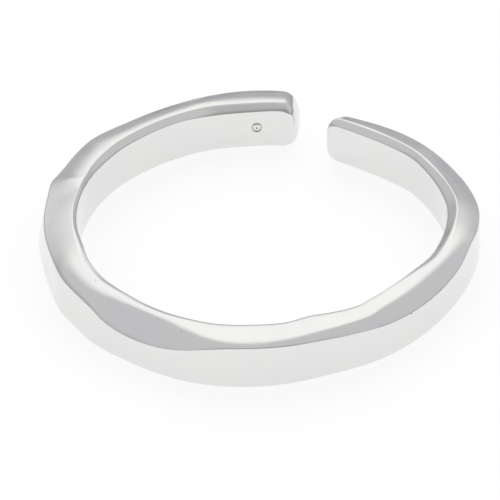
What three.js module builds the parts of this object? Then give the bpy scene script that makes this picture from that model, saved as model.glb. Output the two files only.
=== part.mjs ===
// Adjustable finger ring: a hand-forged band of polished silver, bent round in one piece and left
// open between its two ends. Millimetres, +Z up. The ring lies on its side on the plane z = 0 and
// the middle of its bore is the Z axis. Angles are degrees round the band, anticlockwise from above,
// starting at the middle of the gap, which faces +Y.

import * as THREE from "three";

// Driving dimensions
const BORE_RADIUS = 8.5; // finger hole, 17 mm across
const BAND_HEIGHT = 2.5; // width of the band along the finger
const STATION_STEP = 3; // degrees between cross-sections

// Rounding of the section's corners, measured along each side that meets there
const FOOT_ROUND = 0.32; // both bottom corners
const CREASE_ROUND = 0.1; // top of the outer wall
const EDGE_ROUND = 0.08; // inner bevel into the bore
const ROUND_SHARE = 0.45; // most of a side that one corner's rounding may take up
const ROUND_STEPS = 4; // straight pieces in each rounded corner

// Each end is filed round: the share of the section's width or height that each side loses, and how
// far along the band the rounding reaches
const END_ROUNDING = {
  bore: { share: 0.2, reach: 0.4 },
  outside: { share: 0.45, reach: 0.75 },
  foot: { share: 0.26, reach: 0.6 },
  top: { share: 0.42, reach: 0.72 },
};
const FAR_SHARE = 0.6; // the far end is filed this share as deep as the near one
const END_REACH = 0.75; // the longest of the four
const END_SOFTNESS = { gain: 0.45, reach: 0.9 }; // rounding that every corner gains towards an end
const END_STEPS = 6; // sections in each rounded end

// The forging, section by section:
//   at         degrees round the band
//   bore       inner wall, outwards from BORE_RADIUS
//   thick      inner wall to the foot of the outer wall
//   lean       how far the outer wall leans in by its top
//   bevel      width of the inner bevel, and dip, its height
//   chamfer    width of the outer chamfer
//   fall       top of the chamfer, below the crown
//   drop       foot of the chamfer, below the crown
//   crown      rounding between the inner bevel and the top face
//   shoulder   rounding between the top face and the chamfer
const COLUMNS = [
  "at", "bore", "thick", "lean", "bevel", "dip", "chamfer", "fall", "drop", "crown", "shoulder",
];
const FORGING = [
  //  at    bore  thick   lean  bevel    dip chamfer  fall   drop  crown shoulder
  [  5.6,  0.08,  1.62,  0.00,  0.27,  0.27,  0.88,  0.02,  0.26,  0.08,  0.60],
  [   12,  0.07,  1.71,  0.00,  0.30,  0.27,  0.88,  0.02,  0.26,  0.08,  0.60],
  [   22,  0.00,  1.78,  0.00,  0.31,  0.30,  0.88,  0.02,  0.26,  0.08,  0.60],
  [   34,  0.06,  1.59,  0.00,  0.34,  0.30,  0.70,  0.02,  0.25,  0.08,  0.35],
  [   44,  0.04,  1.49,  0.00,  0.36,  0.20,  0.72,  0.02,  0.25,  0.08,  0.40],
  [   58,  0.03,  1.51,  0.01,  0.34,  0.22,  0.74,  0.03,  0.25,  0.08,  0.40],
  [   69,  0.07,  1.79,  0.05,  0.32,  0.24,  0.84,  0.04,  0.30,  0.08,  0.60],
  [   76,  0.06,  1.89,  0.14,  0.30,  0.25,  0.88,  0.05,  0.37,  0.08,  0.60],
  [   83,  0.06,  1.99,  0.29,  0.27,  0.26,  0.94,  0.06,  0.41,  0.08,  0.60],
  [   87,  0.05,  2.19,  0.42,  0.23,  0.23,  1.00,  0.08,  0.45,  0.08,  0.50],
  [   90,  0.05,  2.34,  0.49,  0.22,  0.22,  1.08,  0.06,  0.47,  0.08,  0.60],
  [   96,  0.05,  2.18,  0.48,  0.22,  0.14,  1.18,  0.08,  0.46,  0.04,  0.40],
  [  102,  0.05,  2.06,  0.43,  0.22,  0.14,  1.14,  0.07,  0.46,  0.04,  0.40],
  [  112,  0.03,  1.80,  0.21,  0.22,  0.14,  0.80,  0.14,  0.47,  0.05,  0.60],
  [  123, -0.01,  1.73,  0.17,  0.24,  0.12,  0.60,  0.16,  0.48,  0.12,  0.50],
  [  132,  0.10,  1.68,  0.10,  0.32,  0.09,  0.48,  0.10,  0.48,  0.12,  0.45],
  [  142,  0.13,  1.60,  0.10,  0.32,  0.09,  0.50,  0.07,  0.40,  0.12,  0.40],
  [  148,  0.08,  1.69,  0.15,  0.30,  0.08,  0.66,  0.05,  0.42,  0.14,  0.35],
  [  153,  0.05,  1.67,  0.08,  0.28,  0.07,  0.74,  0.04,  0.76,  0.15,  0.40],
  [  160,  0.06,  1.60,  0.06,  0.26,  0.07,  0.76,  0.03,  0.98,  0.16,  0.60],
  [  169,  0.07,  1.59,  0.02,  0.24,  0.07,  0.68,  0.03,  0.90,  0.18,  0.85],
  [  176,  0.07,  1.61,  0.00,  0.22,  0.06,  0.42,  0.03,  0.72,  0.20,  0.85],
  [  182,  0.08,  1.60,  0.00,  0.22,  0.06,  0.30,  0.03,  0.42,  0.20,  0.60],
  [  188,  0.07,  1.56,  0.00,  0.20,  0.05,  0.26,  0.03,  0.21,  0.30,  0.45],
  [  196, -0.02,  1.57,  0.00,  0.20,  0.05,  0.26,  0.03,  0.16,  0.30,  0.45],
  [  205, -0.09,  1.51,  0.00,  0.20,  0.05,  0.26,  0.03,  0.20,  0.28,  0.30],
  [  213, -0.31,  1.59,  0.00,  0.20,  0.05,  0.26,  0.03,  0.28,  0.26,  0.30],
  [  221, -0.20,  1.46,  0.00,  0.20,  0.05,  0.26,  0.03,  0.38,  0.26,  0.30],
  [  229, -0.08,  1.40,  0.00,  0.20,  0.05,  0.32,  0.03,  0.48,  0.28,  0.30],
  [  235, -0.18,  1.52,  0.02,  0.20,  0.05,  0.50,  0.03,  0.57,  0.30,  0.30],
  [  245, -0.22,  1.58,  0.02,  0.20,  0.05,  0.56,  0.03,  0.62,  0.30,  0.35],
  [  255, -0.15,  1.54,  0.00,  0.22,  0.10,  0.56,  0.03,  0.58,  0.32,  0.40],
  [  264, -0.05,  1.52,  0.00,  0.36,  0.24,  0.48,  0.03,  0.45,  0.28,  0.40],
  [  273,  0.03,  1.57,  0.08,  0.45,  0.30,  0.40,  0.07,  0.28,  0.16,  0.35],
  [  282,  0.14,  1.61,  0.06,  0.48,  0.32,  0.48,  0.18,  0.42,  0.06,  0.35],
  [  291,  0.22,  1.60,  0.05,  0.48,  0.35,  0.52,  0.22,  0.47,  0.05,  0.35],
  [  300,  0.15,  1.48,  0.00,  0.40,  0.34,  0.54,  0.19,  0.44,  0.05,  0.20],
  [  310,  0.04,  1.30,  0.00,  0.30,  0.30,  0.55,  0.12,  0.32,  0.10,  0.30],
  [  320, -0.04,  1.17,  0.00,  0.26,  0.30,  0.50,  0.10,  0.24,  0.10,  0.30],
  [  330, -0.31,  1.24,  0.00,  0.31,  0.25,  0.45,  0.11,  0.24,  0.10,  0.30],
  [  340, -0.46,  1.11,  0.00,  0.31,  0.25,  0.42,  0.09,  0.22,  0.16,  0.30],
  [  348, -0.47,  0.93,  0.00,  0.28,  0.25,  0.36,  0.08,  0.20,  0.20,  0.30],
  [353.8, -0.46,  0.84,  0.00,  0.25,  0.25,  0.34,  0.08,  0.18,  0.20,  0.30],
];

const BAND_START = FORGING[0][0];
const BAND_END = FORGING.at(-1)[0];
const GAP_AT = 90; // direction of the middle of the gap, +Y
const HALF_TURN = 180;
const radians = THREE.MathUtils.degToRad;

// A column's value between its rows follows a smooth curve whose slope at each row is that of the
// line between the rows on either side
function slopeAt(column, row) {
  const before = FORGING[Math.max(row - 1, 0)];
  const after = FORGING[Math.min(row + 1, FORGING.length - 1)];
  return (after[column] - before[column]) / (after[0] - before[0]);
}

function forgedAt(degrees) {
  const passed = FORGING.filter(([at]) => at <= degrees).length;
  const start = THREE.MathUtils.clamp(passed - 1, 0, FORGING.length - 2);
  const [from, to] = [FORGING[start], FORGING[start + 1]];
  const span = to[0] - from[0];
  const t = (degrees - from[0]) / span;
  const values = COLUMNS.map((name, column) => {
    const rise = to[column] - from[column];
    const leaving = slopeAt(column, start) * span;
    const arriving = slopeAt(column, start + 1) * span;
    const bend = (3 * rise - 2 * leaving - arriving) * t * t;
    return [name, from[column] + leaving * t + bend + (leaving + arriving - 2 * rise) * t * t * t];
  });
  return Object.fromEntries(values);
}

// The section's six corners as [radius, height, rounding], from the outer foot over to the inner foot
function sectionCorners(degrees) {
  const f = forgedAt(degrees);
  const inner = BORE_RADIUS + f.bore;
  const outer = inner + f.thick;
  const crease = outer - f.lean;
  return [
    [outer, 0, FOOT_ROUND],
    [crease, BAND_HEIGHT - f.drop, CREASE_ROUND],
    [crease - f.chamfer, BAND_HEIGHT - f.fall, f.shoulder],
    [inner + f.bevel, BAND_HEIGHT, f.crown],
    [inner, BAND_HEIGHT - f.dip, EDGE_ROUND],
    [inner, 0, FOOT_ROUND],
  ];
}

// Each corner becomes a short curve that starts and ends on the sides next to it
function roundedSection(degrees, fromEnd) {
  const softer = END_SOFTNESS.gain * Math.max(1 - fromEnd / END_SOFTNESS.reach, 0) ** 2;
  const corners = sectionCorners(degrees).map(([r, z, round]) => {
    return { at: new THREE.Vector2(r, z), round: round + softer };
  });
  const points = [];
  corners.forEach(({ at, round }, i) => {
    const before = corners.at(i - 1).at;
    const after = corners[(i + 1) % corners.length].at;
    const [back, ahead] = [before, after].map((next) => {
      const side = next.clone().sub(at);
      const cut = Math.min(round, ROUND_SHARE * side.length());
      return at.clone().addScaledVector(side.normalize(), cut);
    });
    points.push(...new THREE.QuadraticBezierCurve(back, at, ahead).getPoints(ROUND_STEPS));
  });
  return points;
}

// Share of the section that one side has lost at a distance from the end face
function lostAt(fromEnd, { share, reach }) {
  const along = Math.max(1 - fromEnd / reach, 0);
  return share * (1 - Math.sqrt(1 - along * along));
}

// One section of the finished band, drawn in on all sides where it's near an end
function station(degrees, fromEnd) {
  const points = roundedSection(degrees, fromEnd);
  const { min, max } = new THREE.Box2().setFromPoints(points);
  const width = max.x - min.x;
  const filing = degrees < HALF_TURN ? 1 : FAR_SHARE;
  const inner = min.x + width * filing * lostAt(fromEnd, END_ROUNDING.bore);
  const outer = max.x - width * filing * lostAt(fromEnd, END_ROUNDING.outside);
  const low = max.y * filing * lostAt(fromEnd, END_ROUNDING.foot);
  const high = max.y * (1 - filing * lostAt(fromEnd, END_ROUNDING.top));
  const turn = radians(GAP_AT + degrees);
  return points.map(({ x, y }) => {
    const r = THREE.MathUtils.mapLinear(x, min.x, max.x, inner, outer);
    const z = THREE.MathUtils.mapLinear(y, 0, max.y, low, high);
    return new THREE.Vector3(r * Math.cos(turn), r * Math.sin(turn), z);
  });
}

// Sections run from one end face to the other, closer together in the rounded ends
function bandStations() {
  const reach = THREE.MathUtils.radToDeg(END_REACH / BORE_RADIUS);
  const ends = Array.from({ length: END_STEPS }, (_, i) => 1 - Math.cos((i * Math.PI) / 2 / END_STEPS));
  const straight = BAND_END - BAND_START - 2 * reach;
  const steps = Math.round(straight / STATION_STEP);
  const inside = Array.from({ length: steps + 1 }, (_, i) => BAND_START + reach + (straight * i) / steps);
  return [
    ...ends.map((part) => station(BAND_START + part * reach, part * END_REACH)),
    ...inside.map((degrees) => station(degrees, END_REACH)),
    ...ends.toReversed().map((part) => station(BAND_END - part * reach, part * END_REACH)),
  ];
}

// Skin between the stations, closed by a fan of triangles over each end face
function bandGeometry() {
  const stations = bandStations();
  const around = stations[0].length;
  const points = stations.flat();
  const index = [];
  for (let i = 0; i + 1 < stations.length; i++) {
    for (let j = 0; j < around; j++) {
      const [a, b] = [i * around + j, i * around + ((j + 1) % around)];
      index.push(a, a + around, b + around, a, b + around, b);
    }
  }
  const lastRing = (stations.length - 1) * around;
  [stations[0], stations.at(-1)].forEach((ring, end) => {
    const middle = ring.reduce((sum, point) => sum.add(point), new THREE.Vector3()).divideScalar(around);
    const hub = points.push(middle) - 1;
    for (let j = 0; j < around; j++) {
      const next = (j + 1) % around;
      index.push(hub, ...(end === 0 ? [j, next] : [lastRing + next, lastRing + j]));
    }
  });
  const geometry = new THREE.BufferGeometry().setFromPoints(points);
  geometry.setIndex(index);
  geometry.computeVertexNormals();
  return geometry;
}

const polishedSilver = new THREE.MeshStandardMaterial({ color: 0xdcdcda, roughness: 0.12, metalness: 1 });

const band = new THREE.Mesh(bandGeometry(), polishedSilver);
band.name = "band";

const group = new THREE.Group();
group.add(band);

export default group;
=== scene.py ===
import math

import bpy
import numpy as np
from mathutils import Matrix, Vector


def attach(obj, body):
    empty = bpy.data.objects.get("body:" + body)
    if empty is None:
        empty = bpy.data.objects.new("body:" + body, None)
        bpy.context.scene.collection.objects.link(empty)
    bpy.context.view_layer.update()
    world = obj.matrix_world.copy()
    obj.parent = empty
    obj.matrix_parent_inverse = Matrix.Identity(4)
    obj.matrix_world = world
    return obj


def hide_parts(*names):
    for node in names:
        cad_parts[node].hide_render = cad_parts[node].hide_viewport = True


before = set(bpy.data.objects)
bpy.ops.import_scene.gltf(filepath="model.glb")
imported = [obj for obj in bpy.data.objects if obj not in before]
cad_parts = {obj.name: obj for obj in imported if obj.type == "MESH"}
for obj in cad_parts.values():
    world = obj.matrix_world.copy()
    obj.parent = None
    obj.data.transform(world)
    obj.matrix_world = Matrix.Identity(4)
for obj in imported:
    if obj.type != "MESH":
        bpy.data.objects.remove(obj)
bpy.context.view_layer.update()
print("frame loaded")

mm = 0.001


# Numbers in a shader are written as expressions; every other node comes from Shader.node()
class Wire:
    def __init__(self, shader, socket):
        self.shader, self.socket = shader, socket

    def maths(self, operation, *values):
        return self.shader.node("ShaderNodeMath", {"operation": operation}, dict(enumerate(values)))

    def __add__(self, other): return self.maths("ADD", self, other)
    def __radd__(self, other): return self.maths("ADD", other, self)
    def __sub__(self, other): return self.maths("SUBTRACT", self, other)
    def __rsub__(self, other): return self.maths("SUBTRACT", other, self)
    def __mul__(self, other): return self.maths("MULTIPLY", self, other)
    def __rmul__(self, other): return self.maths("MULTIPLY", other, self)
    def __truediv__(self, other): return self.maths("DIVIDE", self, other)
    def __pow__(self, other): return self.maths("POWER", self, other)
    def __abs__(self): return self.maths("ABSOLUTE", self)


class Shader:
    def __init__(self, tree):
        self.tree = tree
        tree.nodes.clear()

    def feed(self, socket, value):
        if isinstance(value, Wire):
            self.tree.links.new(value.socket, socket)
        else:
            socket.default_value = value

    def node(self, kind, settings=None, inputs=None, output=0):
        made = self.tree.nodes.new(kind)
        for name, value in (settings or {}).items():
            setattr(made, name, value)
        for name, value in (inputs or {}).items():
            self.feed(made.inputs[name], value)
        return Wire(self, made.outputs[output]) if len(made.outputs) else made

    # Mix has sockets for every kind of value: 6 and 7 are its two colours, and output 2 is the blend
    def blend(self, factor, first, second):
        return self.node("ShaderNodeMix", {"data_type": "RGBA"}, {0: factor, 6: first, 7: second}, 2)

    # 0 below the first value, 1 above the second, smooth between
    def ease(self, value, low, high):
        inputs = {"Value": value, "From Min": low, "From Max": high}
        return self.node("ShaderNodeMapRange", {"interpolation_type": "SMOOTHSTEP"}, inputs)


# The band in millimetres, with angles in degrees round it, anticlockwise from the middle of the gap
bandSizes = {
    "boreRadius": 8.5,
    "height": 2.5,
    "footRound": 0.32,
    "keptFlat": 0.04,              # share of a side that stays flat where its roundings would fill it
    "gapAt": 90,                   # direction of the middle of the gap, degrees anticlockwise from +X
    "stationStep": 0.6,            # degrees
    "endSteps": 16,
    "cornerSteps": 8,
    # outer wall, chamfer, top, inner bevel, bore wall (0: it has wallSteps), underside
    "sideSteps": (10, 7, 8, 5, 0, 5),
    # down the bore wall, fine where the mark is: share of its height, and steps as far as there
    "wallSteps": ((0.245, 5), (0.62, 32), (1, 6)),
    # share of the section that each side loses at an end, and how far along the filing reaches
    "filed": {"bore": (0.20, 0.40), "outside": (0.45, 0.75), "foot": (0.26, 0.60), "top": (0.42, 0.72)},
    "farShare": 0.60,              # the far end is filed this share as deep as the near one
    # rounding that every corner gains at an end, and how far along that reaches
    "endSoftness": (0.45, 0.90),
}

# A plain round mark punched into the bore wall: a ring with a dot in the middle
punchedMark = {
    "at": 18.5,                        # degrees
    "high": 1.24,
    "ring": (0.225, 0.045, 0.040),     # radius, width, depth
    "dot": (0.075, 0.050),             # width, depth
    "reach": 0.36,                     # the wall is left alone beyond this distance from the middle
    "wallEnds": 0.5,                   # points further out from the bore than this aren't on its wall
    "stationStep": 0.13,               # degrees
}

# A row of forging is the band's section at one angle
columns = (
    "at",          # degrees
    "bore",        # added to the bore radius
    "thick",       # from the bore out to the foot of the outer wall
    "lean",        # how far the outer wall leans in on its way up to the crease
    "bevel",       # how far the inner bevel runs out from the bore
    "dip",         # how far below the top its lower edge lies
    "chamfer",     # how far the chamfer runs in from the crease
    "fall",        # how far below the top its upper edge lies
    "drop",        # how far below the top the crease lies
    "crown",       # rounding of the bevel's upper edge
    "shoulder",    # rounding of the chamfer's upper edge
    "edge",        # rounding of the bevel's lower edge
    "ridge",       # rounding of the crease
)
forging = [
    #   at    bore  thick   lean  bevel    dip chamfer  fall   drop  crown shoulder  edge  ridge
    (  5.6,  0.08,  1.62,  0.00,  0.27,  0.27,  0.88,  0.02,  0.26,  0.08,  0.60,  0.14,  0.07),
    (   12,  0.07,  1.71,  0.00,  0.30,  0.27,  0.88,  0.02,  0.26,  0.08,  0.60,  0.14,  0.07),
    (   22,  0.00,  1.78,  0.00,  0.31,  0.30,  0.88,  0.02,  0.26,  0.08,  0.60,  0.14,  0.07),
    (   34,  0.06,  1.59,  0.00,  0.34,  0.30,  0.70,  0.02,  0.25,  0.08,  0.35,  0.14,  0.07),
    (   44,  0.04,  1.49,  0.00,  0.36,  0.20,  0.72,  0.02,  0.25,  0.08,  0.40,  0.14,  0.07),
    (   58,  0.03,  1.51,  0.01,  0.34,  0.22,  0.74,  0.03,  0.25,  0.08,  0.40,  0.14,  0.07),
    (   69,  0.07,  1.79,  0.05,  0.32,  0.24,  0.84,  0.04,  0.30,  0.08,  0.60,  0.14,  0.07),
    (   76,  0.06,  1.89,  0.14,  0.30,  0.25,  0.88,  0.05,  0.37,  0.08,  0.60,  0.14,  0.07),
    (   83,  0.06,  1.99,  0.29,  0.27,  0.26,  0.94,  0.06,  0.41,  0.08,  0.60,  0.14,  0.07),
    (   87,  0.05,  2.19,  0.42,  0.23,  0.23,  1.00,  0.08,  0.45,  0.08,  0.50,  0.14,  0.07),
    (   90,  0.05,  2.34,  0.49,  0.22,  0.22,  1.08,  0.06,  0.47,  0.08,  0.60,  0.14,  0.07),
    (   96,  0.05,  2.18,  0.48,  0.22,  0.14,  1.18,  0.08,  0.46,  0.04,  0.40,  0.14,  0.07),
    (  102,  0.05,  2.06,  0.43,  0.22,  0.14,  1.14,  0.07,  0.46,  0.04,  0.40,  0.14,  0.07),
    (  112,  0.03,  1.80,  0.21,  0.22,  0.14,  0.80,  0.14,  0.47,  0.05,  0.60,  0.12,  0.09),
    (  123, -0.01,  1.73,  0.17,  0.24,  0.12,  0.60,  0.16,  0.48,  0.12,  0.50,  0.06,  0.13),
    (  132,  0.10,  1.68,  0.10,  0.32,  0.09,  0.48,  0.10,  0.48,  0.12,  0.45,  0.08,  0.34),
    (  142,  0.13,  1.60,  0.10,  0.32,  0.09,  0.50,  0.07,  0.40,  0.12,  0.40,  0.08,  0.34),
    (  148,  0.08,  1.69,  0.15,  0.30,  0.08,  0.66,  0.05,  0.42,  0.14,  0.35,  0.08,  0.30),
    (  153,  0.05,  1.67,  0.08,  0.28,  0.07,  0.74,  0.04,  0.76,  0.15,  0.40,  0.08,  0.26),
    (  160,  0.06,  1.60,  0.06,  0.26,  0.07,  0.76,  0.03,  0.98,  0.16,  0.60,  0.08,  0.20),
    (  169,  0.07,  1.59,  0.02,  0.24,  0.07,  0.68,  0.03,  0.90,  0.18,  0.85,  0.08,  0.14),
    (  176,  0.07,  1.61,  0.00,  0.22,  0.06,  0.42,  0.03,  0.72,  0.20,  0.85,  0.08,  0.12),
    (  182,  0.08,  1.60,  0.00,  0.22,  0.06,  0.30,  0.03,  0.42,  0.20,  0.60,  0.08,  0.10),
    (  188,  0.07,  1.56,  0.00,  0.20,  0.05,  0.26,  0.03,  0.21,  0.30,  0.45,  0.03,  0.10),
    (  196, -0.02,  1.57,  0.00,  0.20,  0.05,  0.26,  0.03,  0.16,  0.30,  0.45,  0.03,  0.10),
    (  205, -0.09,  1.51,  0.00,  0.20,  0.05,  0.26,  0.03,  0.20,  0.28,  0.30,  0.03,  0.10),
    (  213, -0.31,  1.59,  0.00,  0.20,  0.05,  0.26,  0.03,  0.28,  0.26,  0.30,  0.03,  0.10),
    (  221, -0.20,  1.46,  0.00,  0.20,  0.05,  0.26,  0.03,  0.38,  0.26,  0.30,  0.03,  0.10),
    (  229, -0.08,  1.40,  0.00,  0.20,  0.05,  0.32,  0.03,  0.48,  0.28,  0.30,  0.03,  0.10),
    (  235, -0.18,  1.52,  0.02,  0.20,  0.05,  0.50,  0.03,  0.57,  0.30,  0.30,  0.06,  0.10),
    (  245, -0.22,  1.58,  0.02,  0.20,  0.05,  0.56,  0.03,  0.62,  0.30,  0.35,  0.06,  0.09),
    (  255, -0.15,  1.54,  0.00,  0.22,  0.10,  0.56,  0.03,  0.58,  0.32,  0.40,  0.06,  0.09),
    (  264, -0.05,  1.52,  0.00,  0.36,  0.24,  0.48,  0.03,  0.45,  0.28,  0.40,  0.10,  0.07),
    (  273,  0.03,  1.57,  0.08,  0.45,  0.30,  0.40,  0.07,  0.28,  0.16,  0.35,  0.14,  0.07),
    (  282,  0.14,  1.61,  0.06,  0.48,  0.32,  0.48,  0.18,  0.42,  0.06,  0.35,  0.14,  0.07),
    (  291,  0.22,  1.60,  0.05,  0.48,  0.35,  0.52,  0.22,  0.47,  0.05,  0.35,  0.14,  0.07),
    (  300,  0.15,  1.48,  0.00,  0.40,  0.34,  0.54,  0.19,  0.44,  0.05,  0.20,  0.14,  0.07),
    (  310,  0.04,  1.30,  0.00,  0.30,  0.30,  0.55,  0.12,  0.32,  0.10,  0.30,  0.14,  0.07),
    (  320, -0.04,  1.17,  0.00,  0.26,  0.30,  0.50,  0.10,  0.24,  0.10,  0.30,  0.14,  0.07),
    (  330, -0.31,  1.24,  0.00,  0.31,  0.25,  0.45,  0.11,  0.24,  0.10,  0.30,  0.14,  0.07),
    (  340, -0.46,  1.11,  0.00,  0.31,  0.25,  0.42,  0.09,  0.22,  0.16,  0.30,  0.14,  0.07),
    (  348, -0.47,  0.93,  0.00,  0.28,  0.25,  0.36,  0.08,  0.20,  0.20,  0.30,  0.14,  0.07),
    (353.8, -0.46,  0.84,  0.00,  0.25,  0.25,  0.34,  0.08,  0.18,  0.20,  0.30,  0.14,  0.07),
]


# The rows' values at any angles, on smooth curves through the rows
def forgedAt(degrees):
    rows = np.array(forging)
    at = rows[:, 0]
    before = np.maximum(np.arange(len(rows)) - 1, 0)
    after = np.minimum(np.arange(len(rows)) + 1, len(rows) - 1)
    slope = (rows[after] - rows[before]) / (at[after] - at[before])[:, None]
    start = np.clip(np.searchsorted(at, degrees, side="right") - 1, 0, len(rows) - 2)
    span = (at[start + 1] - at[start])[:, None]
    t = (degrees - at[start])[:, None] / span
    rise = rows[start + 1] - rows[start]
    leaving, arriving = slope[start] * span, slope[start + 1] * span
    bend = (3 * rise - 2 * leaving - arriving) * t ** 2
    values = rows[start] + leaving * t + bend + (leaving + arriving - 2 * rise) * t ** 3
    return dict(zip(columns, values.T))


# A section's corners as (radius, height, rounding), from the outer foot over the top to the inner foot
def sectionCorners(forged, sizes):
    inner = sizes["boreRadius"] + forged["bore"]
    outer = inner + forged["thick"]
    crease = outer - forged["lean"]
    high = sizes["height"]
    flat = np.zeros_like(inner)
    return [
        (outer, flat, flat + sizes["footRound"]),
        (crease, high - forged["drop"], forged["ridge"]),
        (crease - forged["chamfer"], high - forged["fall"], forged["shoulder"]),
        (inner + forged["bevel"], flat + high, forged["crown"]),
        (inner, high - forged["dip"], forged["edge"]),
        (inner, flat, flat + sizes["footRound"]),
    ]


# Where a side between two rounded corners is divided, as shares of its length
def sideParts(side, sizes):
    count = sizes["sideSteps"][side]
    if count:
        return [(1 - math.cos(math.pi * k / count)) / 2 for k in range(1, count)]
    parts, start = [], 0
    for end, steps in sizes["wallSteps"]:
        parts += np.linspace(start, end, steps + 1)[1:].tolist()
        start = end
    return parts[:-1]


# Sections as arrays of points, station by station: rounded corners joined by divided sides
def roundedSections(degrees, fromEnd, sizes):
    gain, reach = sizes["endSoftness"]
    softer = gain * np.maximum(1 - fromEnd / reach, 0) ** 2
    corners = []
    for r, z, cut in sectionCorners(forgedAt(degrees), sizes):
        corners.append((np.stack([r, z], -1), cut + softer))
    starts, ends = [], []
    for i, (corner, cut) in enumerate(corners):
        following = corners[(i + 1) % len(corners)]
        for (beside, otherCut), kept in ((corners[i - 1], starts), (following, ends)):
            side = beside - corner
            length = np.linalg.norm(side, axis=-1)
            fit = np.minimum(1, (1 - sizes["keptFlat"]) * length / (cut + otherCut))
            kept.append(corner + side * (cut * fit / length)[:, None])
    steps = np.linspace(0, 1, sizes["cornerSteps"] + 1)
    points = []
    for i, (start, end) in enumerate(zip(starts, ends)):
        corner = corners[i][0]
        for t in steps:
            points.append(start * (1 - t) ** 2 + corner * 2 * t * (1 - t) + end * t ** 2)
        for t in sideParts(i, sizes):
            points.append(end * (1 - t) + starts[(i + 1) % len(corners)] * t)
    return np.stack(points, 1)


# Share of the section that a side has lost, rounded over towards the end as a quarter of an ellipse
def lostAt(fromEnd, share, reach):
    along = np.maximum(1 - fromEnd / reach, 0)
    return share * (1 - np.sqrt(1 - along ** 2))


# Where the sections stand round the band: closer together at the two ends and across the mark
def stationAngles(sizes, mark):
    start, end = forging[0][0], forging[-1][0]
    reach = math.degrees(max(far for share, far in sizes["filed"].values()) / sizes["boreRadius"])
    ends = reach * (1 - np.cos(np.linspace(0, math.pi / 2, sizes["endSteps"] + 1)))
    count = round((end - start - 2 * reach) / sizes["stationStep"]) + 1
    between = np.linspace(start + reach, end - reach, count)
    window = math.degrees(mark["reach"] / sizes["boreRadius"])
    fine = np.arange(mark["at"] - window, mark["at"] + window, mark["stationStep"])
    between = between[np.abs(between - mark["at"]) > window + mark["stationStep"]]
    return np.sort(np.concatenate([start + ends[:-1], between, fine, (end - ends[:-1])[::-1]]))


# How deep the punch has pushed the bore wall outwards
def punchedDepth(degrees, r, z, sizes, mark):
    along = np.radians(degrees - mark["at"])[:, None] * sizes["boreRadius"]
    away = np.hypot(along, z - mark["high"])
    ringAt, ringWide, ringDeep = mark["ring"]
    dotWide, dotDeep = mark["dot"]
    ring = ringDeep * np.exp(-((away - ringAt) / ringWide) ** 2)
    dot = dotDeep * np.exp(-(away / dotWide) ** 2)
    onWall = r < sizes["boreRadius"] + mark["wallEnds"]
    return np.where(onWall & (away < mark["reach"]), ring + dot, 0)


def markMiddle(sizes, mark):
    angle = math.radians(sizes["gapAt"] + mark["at"])
    return sizes["boreRadius"] * math.cos(angle), sizes["boreRadius"] * math.sin(angle), mark["high"]


def bandPoints(sizes, mark):
    degrees = stationAngles(sizes, mark)
    fromEnd = np.radians(np.minimum(degrees - degrees[0], degrees[-1] - degrees)) * sizes["boreRadius"]
    section = roundedSections(degrees, fromEnd, sizes)
    filing = np.where(degrees < (degrees[0] + degrees[-1]) / 2, 1, sizes["farShare"])
    lost = {}
    for name, (share, reach) in sizes["filed"].items():
        lost[name] = (filing * lostAt(fromEnd, share, reach))[:, None]
    r, z = section[..., 0], section[..., 1]
    low, high = r.min(1, keepdims=True), r.max(1, keepdims=True)
    top = z.max(1, keepdims=True)
    width = high - low
    across = (r - low) / width
    r = low + width * (lost["bore"] + across * (1 - lost["bore"] - lost["outside"]))
    z = top * (lost["foot"] + z / top * (1 - lost["foot"] - lost["top"]))
    r = r + punchedDepth(degrees, r, z, sizes, mark)
    turn = np.radians(sizes["gapAt"] + degrees)[:, None]
    return np.stack([r * np.cos(turn), r * np.sin(turn), z], -1) * mm


def bandMesh(sizes, mark):
    points = bandPoints(sizes, mark)
    stations, around = points.shape[:2]
    index = np.arange(stations * around).reshape(stations, around)
    beside = np.roll(index, -1, axis=1)
    faces = np.stack([index[:-1], index[1:], beside[1:], beside[:-1]], -1).reshape(-1, 4).tolist()
    vertices = points.reshape(-1, 3).tolist()
    # a fan of triangles closes each end
    for ring, turned in ((index[0], False), (index[-1], True)):
        hub = len(vertices)
        vertices.append(points.reshape(-1, 3)[ring].mean(0).tolist())
        for a, b in zip(ring.tolist(), np.roll(ring, -1).tolist()):
            faces.append([hub, b, a] if turned else [hub, a, b])
    mesh = bpy.data.meshes.new("hammeredBand")
    mesh.from_pydata(vertices, [], faces)
    mesh.validate()
    mesh.shade_smooth()
    return mesh


hammeredBand = bpy.data.objects.new("hammeredBand", bandMesh(bandSizes, punchedMark))
bpy.context.scene.collection.objects.link(hammeredBand)
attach(hammeredBand, "root")
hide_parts("band")
print("band made,", len(hammeredBand.data.polygons), "faces")


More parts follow.
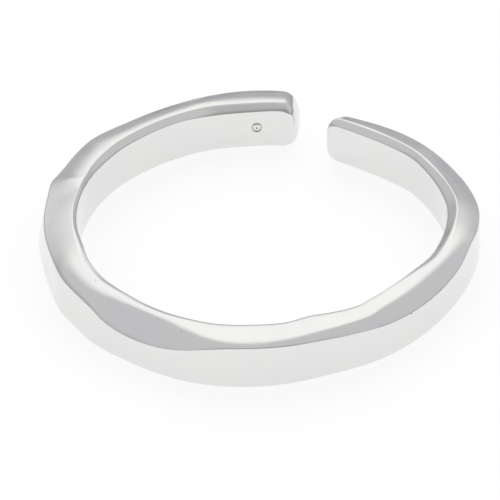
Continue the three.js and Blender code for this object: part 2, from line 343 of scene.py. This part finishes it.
silverLooks = {
    "warm": (0.805, 0.80, 0.785, 1),
    "cool": (0.788, 0.794, 0.795, 1),
    # dark colour: the pits are darkened with it, and it is the painted shade along the punched ring
    "pitsAndRingShade": (0.24, 0.22, 0.20, 1),
    # tint, smear, ripple and grain: millimetres across one patch, and how many finer layers it has
    "tint": (2.6, 3),
    "tintTurns": (0.35, 0.65),  # cool below the first level of the noise, warm above the second
    "smear": (0.9, 4),
    "smearTurns": (0.3, 0.7),
    "roughness": (0.09, 0.20),
    "ripple": (1.3, 1),         # the last, soft marks of the hammer
    "rippleHeight": 0.0060,     # heights and depths are in millimetres
    "grain": (0.22, 2),
    "grainHeight": 0.0004,
    "lineWidth": 0.045,         # polishing lines, along the band
    "lineLength": 8.0,          # degrees
    "lineLayers": 2,
    "lineHeight": 0.00025,
    "finerShare": 0.5,          # strength of each finer layer of a noise beside the one before
    # place, radius: dark pits, and clean nicks
    "pits": (
        (-6.91, 4.99, 1.79, 0.030), (9.45, -2.76, 1.94, 0.045), (9.19, -3.49, 1.90, 0.035),
        (8.60, -4.73, 1.88, 0.050), (-4.70, -8.70, 2.0, 0.030), (-0.70, -9.49, 2.40, 0.032),
        (-0.55, -9.45, 2.40, 0.022), (-2.00, -8.96, 2.44, 0.026), (-5.58, -7.18, 2.48, 0.030),
    ),
    "nicks": (
        (-8.84, -0.88, 2.48, 0.060), (-8.99, -0.70, 2.48, 0.050), (-8.62, -1.02, 2.48, 0.045),
    ),
    "pitDepth": 0.015,
    "nickDepth": 0.012,
    "spotCore": 0.4,            # share of a pit's or nick's radius that has its full depth
    "markRingShade": (0.05, 0.55),  # half width of the painted shade line in the punched ring, strength
}


def polishedSilver(looks, mark, middle):
    material = bpy.data.materials.new("polishedSilver")
    material.use_nodes = True
    shader = Shader(material.node_tree)
    metres = shader.node("ShaderNodeTexCoord", None, None, "Object")
    place = shader.node("ShaderNodeVectorMath", {"operation": "SCALE"}, {0: metres, "Scale": 1 / mm})
    x, y, z = (shader.node("ShaderNodeSeparateXYZ", None, {0: place}, i) for i in range(3))

    def noise(where, size, layers):
        inputs = {"Vector": where, "Scale": 1 / size, "Detail": layers, "Roughness": looks["finerShare"]}
        return shader.node("ShaderNodeTexNoise", None, inputs)

    # round the band, outwards and up, each in lengths or widths of a polishing line
    turned = shader.node("ShaderNodeMath", {"operation": "ARCTAN2"}, {0: x, 1: 0 - y})
    outwards = (x * x + y * y) ** 0.5
    along = turned * (math.degrees(1) / looks["lineLength"])
    stretched = {"X": along, "Y": outwards / looks["lineWidth"], "Z": z / looks["lineWidth"]}
    lines = noise(shader.node("ShaderNodeCombineXYZ", None, stretched), 1, looks["lineLayers"])

    def distance(point):
        return shader.node("ShaderNodeVectorMath", {"operation": "DISTANCE"}, {0: place, 1: point}, 1)

    def spots(places):
        found = 0
        for px, py, pz, radius in places:
            found = found + (1 - shader.ease(distance((px, py, pz)), radius * looks["spotCore"], radius))
        return found

    pits, nicks = spots(looks["pits"]), spots(looks["nicks"])
    # painted shade: a thin dark line is painted along the punched ring of the mark
    halfWide, strength = looks["markRingShade"]
    aside = distance(middle) - mark["ring"][0]
    paintedRingShade = (1 - shader.ease(aside * aside, 0, halfWide ** 2)) * strength

    tint = shader.ease(noise(place, *looks["tint"]), *looks["tintTurns"])
    colour = shader.blend(tint, looks["cool"], looks["warm"])
    # the pits are darkened, and the punched ring gets its painted shade
    colour = shader.blend(pits + paintedRingShade, colour, looks["pitsAndRingShade"])
    smooth, rough = looks["roughness"]
    smears = shader.ease(noise(place, *looks["smear"]), *looks["smearTurns"])
    roughness = smooth + smears * (rough - smooth)
    ripple = noise(place, *looks["ripple"]) * looks["rippleHeight"]
    grain = noise(place, *looks["grain"]) * looks["grainHeight"]
    dents = pits * looks["pitDepth"] + nicks * looks["nickDepth"]
    height = ripple + grain + lines * looks["lineHeight"] - dents
    relief = shader.node("ShaderNodeBump", None, {"Strength": 1, "Distance": mm, "Height": height})
    surface = shader.node("ShaderNodeBsdfPrincipled", None, {
        "Base Color": colour, "Metallic": 1, "Roughness": roughness, "Normal": relief,
    })
    shader.node("ShaderNodeOutputMaterial", None, {"Surface": surface})
    return material


markAt = markMiddle(bandSizes, punchedMark)
hammeredBand.data.materials.append(polishedSilver(silverLooks, punchedMark, markAt))
print("silver made")


studio = {
    "floorSide": 3.0,                  # metres
    "floorColour": (0.45, 0.45, 0.45, 1),
    "floorRoughness": 0.9,
    "floorGlow": 0.70,
    "pool": (0.026, 0.065),            # metres: the glow is a painted pool of light, pool colour within the first radius, far colour past the second
    "poolGlowColour": (1, 1, 1, 1),
    "farGlowColour": (0.35, 0.35, 0.37, 1),
}


def studioFloor(looks):
    half = looks["floorSide"] / 2
    mesh = bpy.data.meshes.new("floor")
    corners = [(-half, -half, 0), (half, -half, 0), (half, half, 0), (-half, half, 0)]
    mesh.from_pydata(corners, [], [(0, 1, 2, 3)])
    floor = bpy.data.objects.new("floor", mesh)
    bpy.context.scene.collection.objects.link(floor)
    material = bpy.data.materials.new("paleGlowingTable")
    material.use_nodes = True
    shader = Shader(material.node_tree)
    place = shader.node("ShaderNodeTexCoord", None, None, "Object")
    away = shader.node("ShaderNodeVectorMath", {"operation": "LENGTH"}, {0: place}, 1)
    # painted light: the floor glows, in a bright pool round the ring that fills in its shadow, and dimly
    # far away
    glow = shader.blend(shader.ease(away, *looks["pool"]), looks["poolGlowColour"], looks["farGlowColour"])
    surface = shader.node("ShaderNodeBsdfPrincipled", None, {
        "Base Color": looks["floorColour"], "Roughness": looks["floorRoughness"],
        "Emission Color": glow, "Emission Strength": looks["floorGlow"],
    })
    shader.node("ShaderNodeOutputMaterial", None, {"Surface": surface})
    mesh.materials.append(material)


studioFloor(studio)

# The room: even grey walls, a soft bright panel behind the ring, darker on the viewer's side.
# Pairs are where a change starts and ends: heights in degrees up from the floor's level, and the rest
# in degrees to either side of the panel's middle.
roomLooks = {
    "walls": (0.66, 0.655, 0.675, 1),
    "panel": (1.12, 1.12, 1.10, 1),
    "front": (0.54, 0.535, 0.54, 1),
    "frontFoot": (0.37, 0.35, 0.345, 1),
    "frontWide": (125, 165),
    "frontTop": (55, 75),
    "frontRise": (12, 58),             # the front lightens over these heights
    "low": (0.52, 0.52, 0.54, 1),
    "lowTop": (13, 26),
    "horizon": (0.35, 0.34, 0.35, 1),
    "horizonTop": (0, 8),
    "behindWide": (95, 135),           # low and horizon lie behind the ring and fade out over these
    "panelAt": 108,                    # direction of the panel, degrees anticlockwise from +X
    "panelWide": (8, 45),
    "panelLow": (14, 30),
    "panelHigh": (52, 75),
}


def studioRoom(looks):
    world = bpy.data.worlds.new("studioRoom")
    bpy.context.scene.world = world
    world.use_nodes = True
    room = Shader(world.node_tree)
    seen = room.node("ShaderNodeTexCoord", None, None, "Generated")
    x, y, z = (room.node("ShaderNodeSeparateXYZ", None, {0: seen}, i) for i in range(3))
    turn = math.radians(looks["panelAt"])
    ahead = x * math.cos(turn) + y * math.sin(turn)
    side = x * math.sin(turn) - y * math.cos(turn)
    turned = room.node("ShaderNodeMath", {"operation": "ARCTAN2"}, {0: side, 1: ahead})
    aside = abs(turned) * math.degrees(1)
    rise = room.node("ShaderNodeMath", {"operation": "ARCSINE"}, {0: z}) * math.degrees(1)
    wide = 1 - room.ease(aside, *looks["panelWide"])
    panel = wide * room.ease(rise, *looks["panelLow"]) * (1 - room.ease(rise, *looks["panelHigh"]))
    front = room.ease(aside, *looks["frontWide"]) * (1 - room.ease(rise, *looks["frontTop"]))
    behind = 1 - room.ease(aside, *looks["behindWide"])
    low = (1 - room.ease(rise, *looks["lowTop"])) * behind
    horizon = (1 - room.ease(rise, *looks["horizonTop"])) * behind
    frontColour = room.blend(room.ease(rise, *looks["frontRise"]), looks["frontFoot"], looks["front"])
    colour = room.blend(front, looks["walls"], frontColour)
    colour = room.blend(low, colour, looks["low"])
    colour = room.blend(horizon, colour, looks["horizon"])
    colour = room.blend(panel, colour, looks["panel"])
    background = room.node("ShaderNodeBackground", None, {"Color": colour, "Strength": 1})
    room.node("ShaderNodeOutputWorld", None, {"Surface": background})


studioRoom(roomLooks)
print("studio made")


view = {
    "from": (37.37, -115.83, 92.72),   # millimetres
    "to": (-0.24, -0.08, 0),
    "aside": (-0.2545, 0.146),         # how far right and up of that point the camera looks
    "roll": 1.1,                       # degrees clockwise
    "lens": 233.8,
    "sensor": 36,
    "clipStart": 0.005,                # metres
}


# Which ways are right, up and back for a camera at place that looks at target
def cameraAxes(place, target, roll):
    back = (place - target).normalized()
    right = Vector((0, 0, 1)).cross(back).normalized()
    up = back.cross(right)
    rolledRight = right * math.cos(roll) - up * math.sin(roll)
    rolledUp = right * math.sin(roll) + up * math.cos(roll)
    return rolledRight, rolledUp, back


def lookingCamera(setting):
    data = bpy.data.cameras.new("camera")
    data.lens = setting["lens"]
    data.sensor_width = setting["sensor"]
    data.clip_start = setting["clipStart"]
    camera = bpy.data.objects.new("camera", data)
    bpy.context.scene.collection.objects.link(camera)
    place, target = Vector(setting["from"]) * mm, Vector(setting["to"]) * mm
    roll = math.radians(setting["roll"])
    right, up, back = cameraAxes(place, target, roll)
    target = target + (right * setting["aside"][0] + up * setting["aside"][1]) * mm
    right, up, back = cameraAxes(place, target, roll)
    camera.matrix_world = Matrix.Translation(place) @ Matrix((right, up, back)).transposed().to_4x4()
    bpy.context.scene.camera = camera


lookingCamera(view)
bounces = 32                           # light passes to and fro between the silver faces
bpy.context.scene.view_settings.view_transform = "Standard"
bpy.context.scene.cycles.max_bounces = bounces
bpy.context.scene.cycles.glossy_bounces = bounces
print("camera set")
